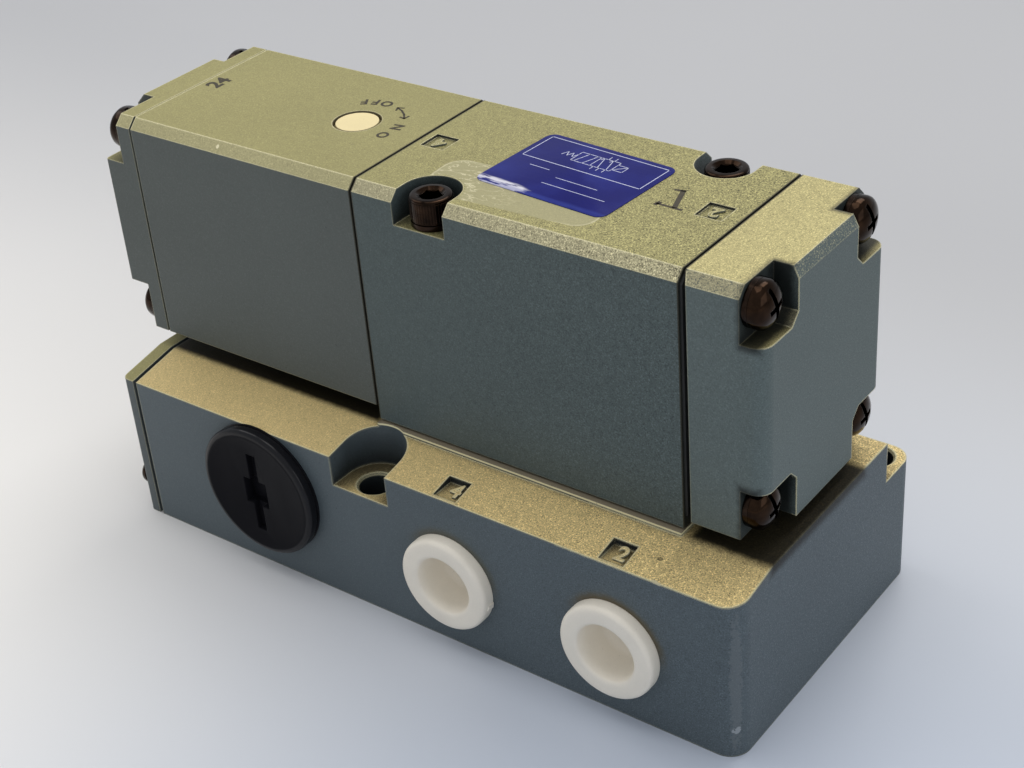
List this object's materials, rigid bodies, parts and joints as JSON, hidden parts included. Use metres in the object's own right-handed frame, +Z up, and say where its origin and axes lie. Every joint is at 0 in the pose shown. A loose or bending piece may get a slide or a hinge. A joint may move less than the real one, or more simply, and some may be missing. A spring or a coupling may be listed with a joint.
{
  "type": "pneumatic solenoid valve",
  "caption": "Block-shaped pneumatic solenoid valve bolted on a ported subplate, with a wiring compartment, plugged ports and a turn-type manual override.",
  "frame": {"origin": "centre of the subplate casting's underside", "axes": "+X along the valve towards the end cap, +Y from the plugged ports towards the rear ports, +Z up"},
  "size_m": [0.1602, 0.072, 0.0918],
  "materials": {
    "casting_paint": "hammered grey-green paint on the casting",
    "rubber_seal": "matt",
    "bronzed_screw": "bronzed satin",
    "steel": "satin",
    "aluminium": "turned",
    "copper_winding": "enamelled wire",
    "brass": "bright",
    "black_plastic": "satin",
    "white_plastic": "satin",
    "cream_plastic": "satin",
    "blue_label": "glossy print"
  },
  "bodies": {
    "housing": {"subplate": "casting_paint", "terminal_cover": "casting_paint", "valve_body": "casting_paint", "end_cap": "casting_paint", "solenoid_housing": "casting_paint", "solenoid_cover": "casting_paint", "terminal_cover_gasket": "rubber_seal", "conduit_plug_ring": "rubber_seal", "base_gasket": "rubber_seal", "connector_seal": "rubber_seal", "sleeve_orings": "rubber_seal", "end_cap_gasket": "rubber_seal", "solenoid_gasket": "rubber_seal", "solenoid_cover_gasket": "rubber_seal", "terminal_cover_screws": "bronzed_screw", "end_cap_screws": "bronzed_screw", "solenoid_cover_screws": "bronzed_screw", "valve_screws": "bronzed_screw", "spring_washers": "bronzed_screw", "end_cap_washers": "bronzed_screw", "solenoid_cover_washers": "bronzed_screw", "return_spring": "steel", "yoke_can": "steel", "yoke_plate": "steel", "fixed_core": "steel", "guide_tube": "steel", "terminal_screws": "steel", "spool_sleeve": "aluminium", "coil_winding": "copper_winding", "terminal_contacts": "brass", "connector_pins": "brass", "conduit_plug": "black_plastic", "terminal_block": "black_plastic", "coil_connector": "black_plastic", "coil_bobbin": "black_plastic", "port_plug_a": "white_plastic", "port_plug_b": "white_plastic", "name_plate": "blue_label"},
    "spool_train": {"plunger": "steel", "push_pin": "steel", "spool": "aluminium", "spring_seat": "steel"},
    "override": {"override_knob": "cream_plastic", "override_oring": "rubber_seal", "override_clip": "steel"}
  },
  "joints": [
    {"name": "spool_slide", "type": "slide", "parent": "housing", "child": "spool_train", "axis": [1, 0, 0], "range_m": [0, 0.003], "stiffness_N_per_m": 2500, "springref_m": -0.004, "deforming": ["return_spring"]},
    {"name": "override_turn", "type": "hinge", "parent": "housing", "child": "override", "pos_m": [-0.0325, 0, 0.09], "axis": [0, 0, -1], "range_deg": [0, 90.2]}
  ],
  "couplings": [
    {"joint": "override_turn", "follows": "spool_slide", "rad_per_m": 523.6}
  ]
}
